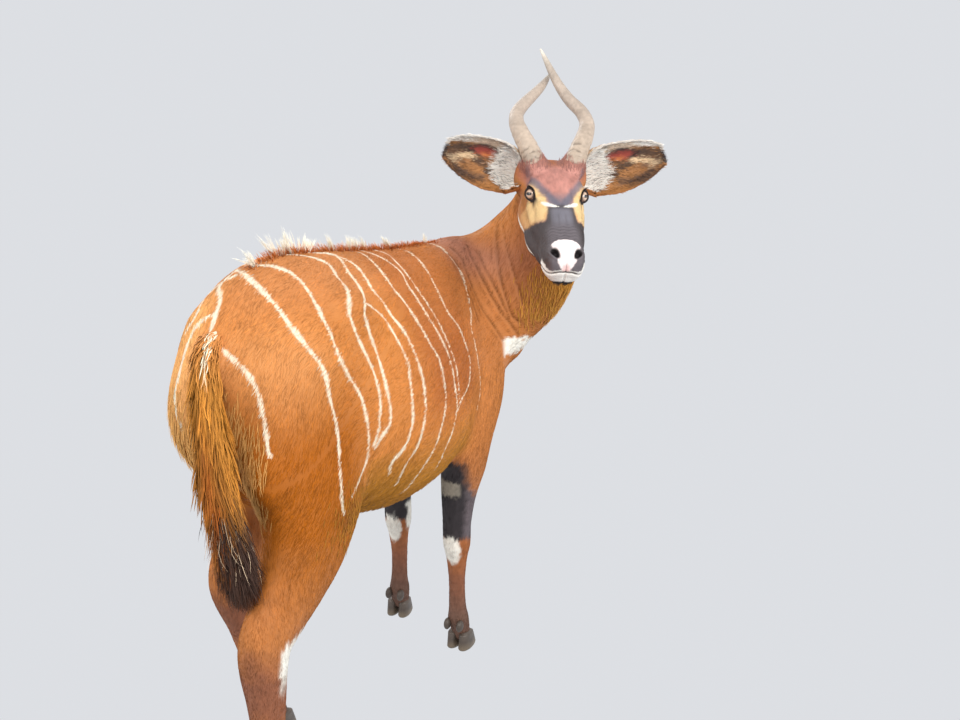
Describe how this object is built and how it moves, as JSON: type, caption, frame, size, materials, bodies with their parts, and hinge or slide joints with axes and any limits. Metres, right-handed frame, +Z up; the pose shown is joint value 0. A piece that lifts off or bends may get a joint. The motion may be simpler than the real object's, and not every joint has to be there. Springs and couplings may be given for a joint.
{
  "type": "bongo antelope figure",
  "caption": "Life-size standing antelope figure, chestnut with white stripes, head turned back over its right side, horned, with crest and tufted tail.",
  "frame": {"origin": "centre of the bounding box's base, on the floor the hooves stand on", "axes": "+Z up; the animal's body faces -Y and its left side is +X; its head is turned back toward +Y over its right side"},
  "size_m": [0.7721, 1.3626, 1.6566],
  "materials": {
    "coat": "short fur, matte, with longer hair on the crest and tail",
    "horn": "horn, ringed and slightly rough, paler at the tips",
    "hoof": "dark horn, worn matte",
    "eye": "wet gloss"
  },
  "bodies": {
    "root": {"crest": "coat", "dewclaw_fore_left_inner": "hoof", "dewclaw_fore_left_outer": "hoof", "dewclaw_fore_right_inner": "hoof", "dewclaw_fore_right_outer": "hoof", "dewclaw_hind_left_inner": "hoof", "dewclaw_hind_left_outer": "hoof", "dewclaw_hind_right_inner": "hoof", "dewclaw_hind_right_outer": "hoof", "ear_left": "coat", "ear_right": "coat", "eye_left": "eye", "eye_right": "eye", "head": "coat", "hoof_fore_left_inner": "hoof", "hoof_fore_left_outer": "hoof", "hoof_fore_right_inner": "hoof", "hoof_fore_right_outer": "hoof", "hoof_hind_left_inner": "hoof", "hoof_hind_left_outer": "hoof", "hoof_hind_right_inner": "hoof", "hoof_hind_right_outer": "hoof", "horn_left": "horn", "horn_right": "horn", "leg_fore_left": "coat", "leg_fore_right": "coat", "leg_hind_left": "coat", "leg_hind_right": "coat", "neck": "coat", "tail": "coat", "trunk": "coat"}
  },
  "joints": []
}
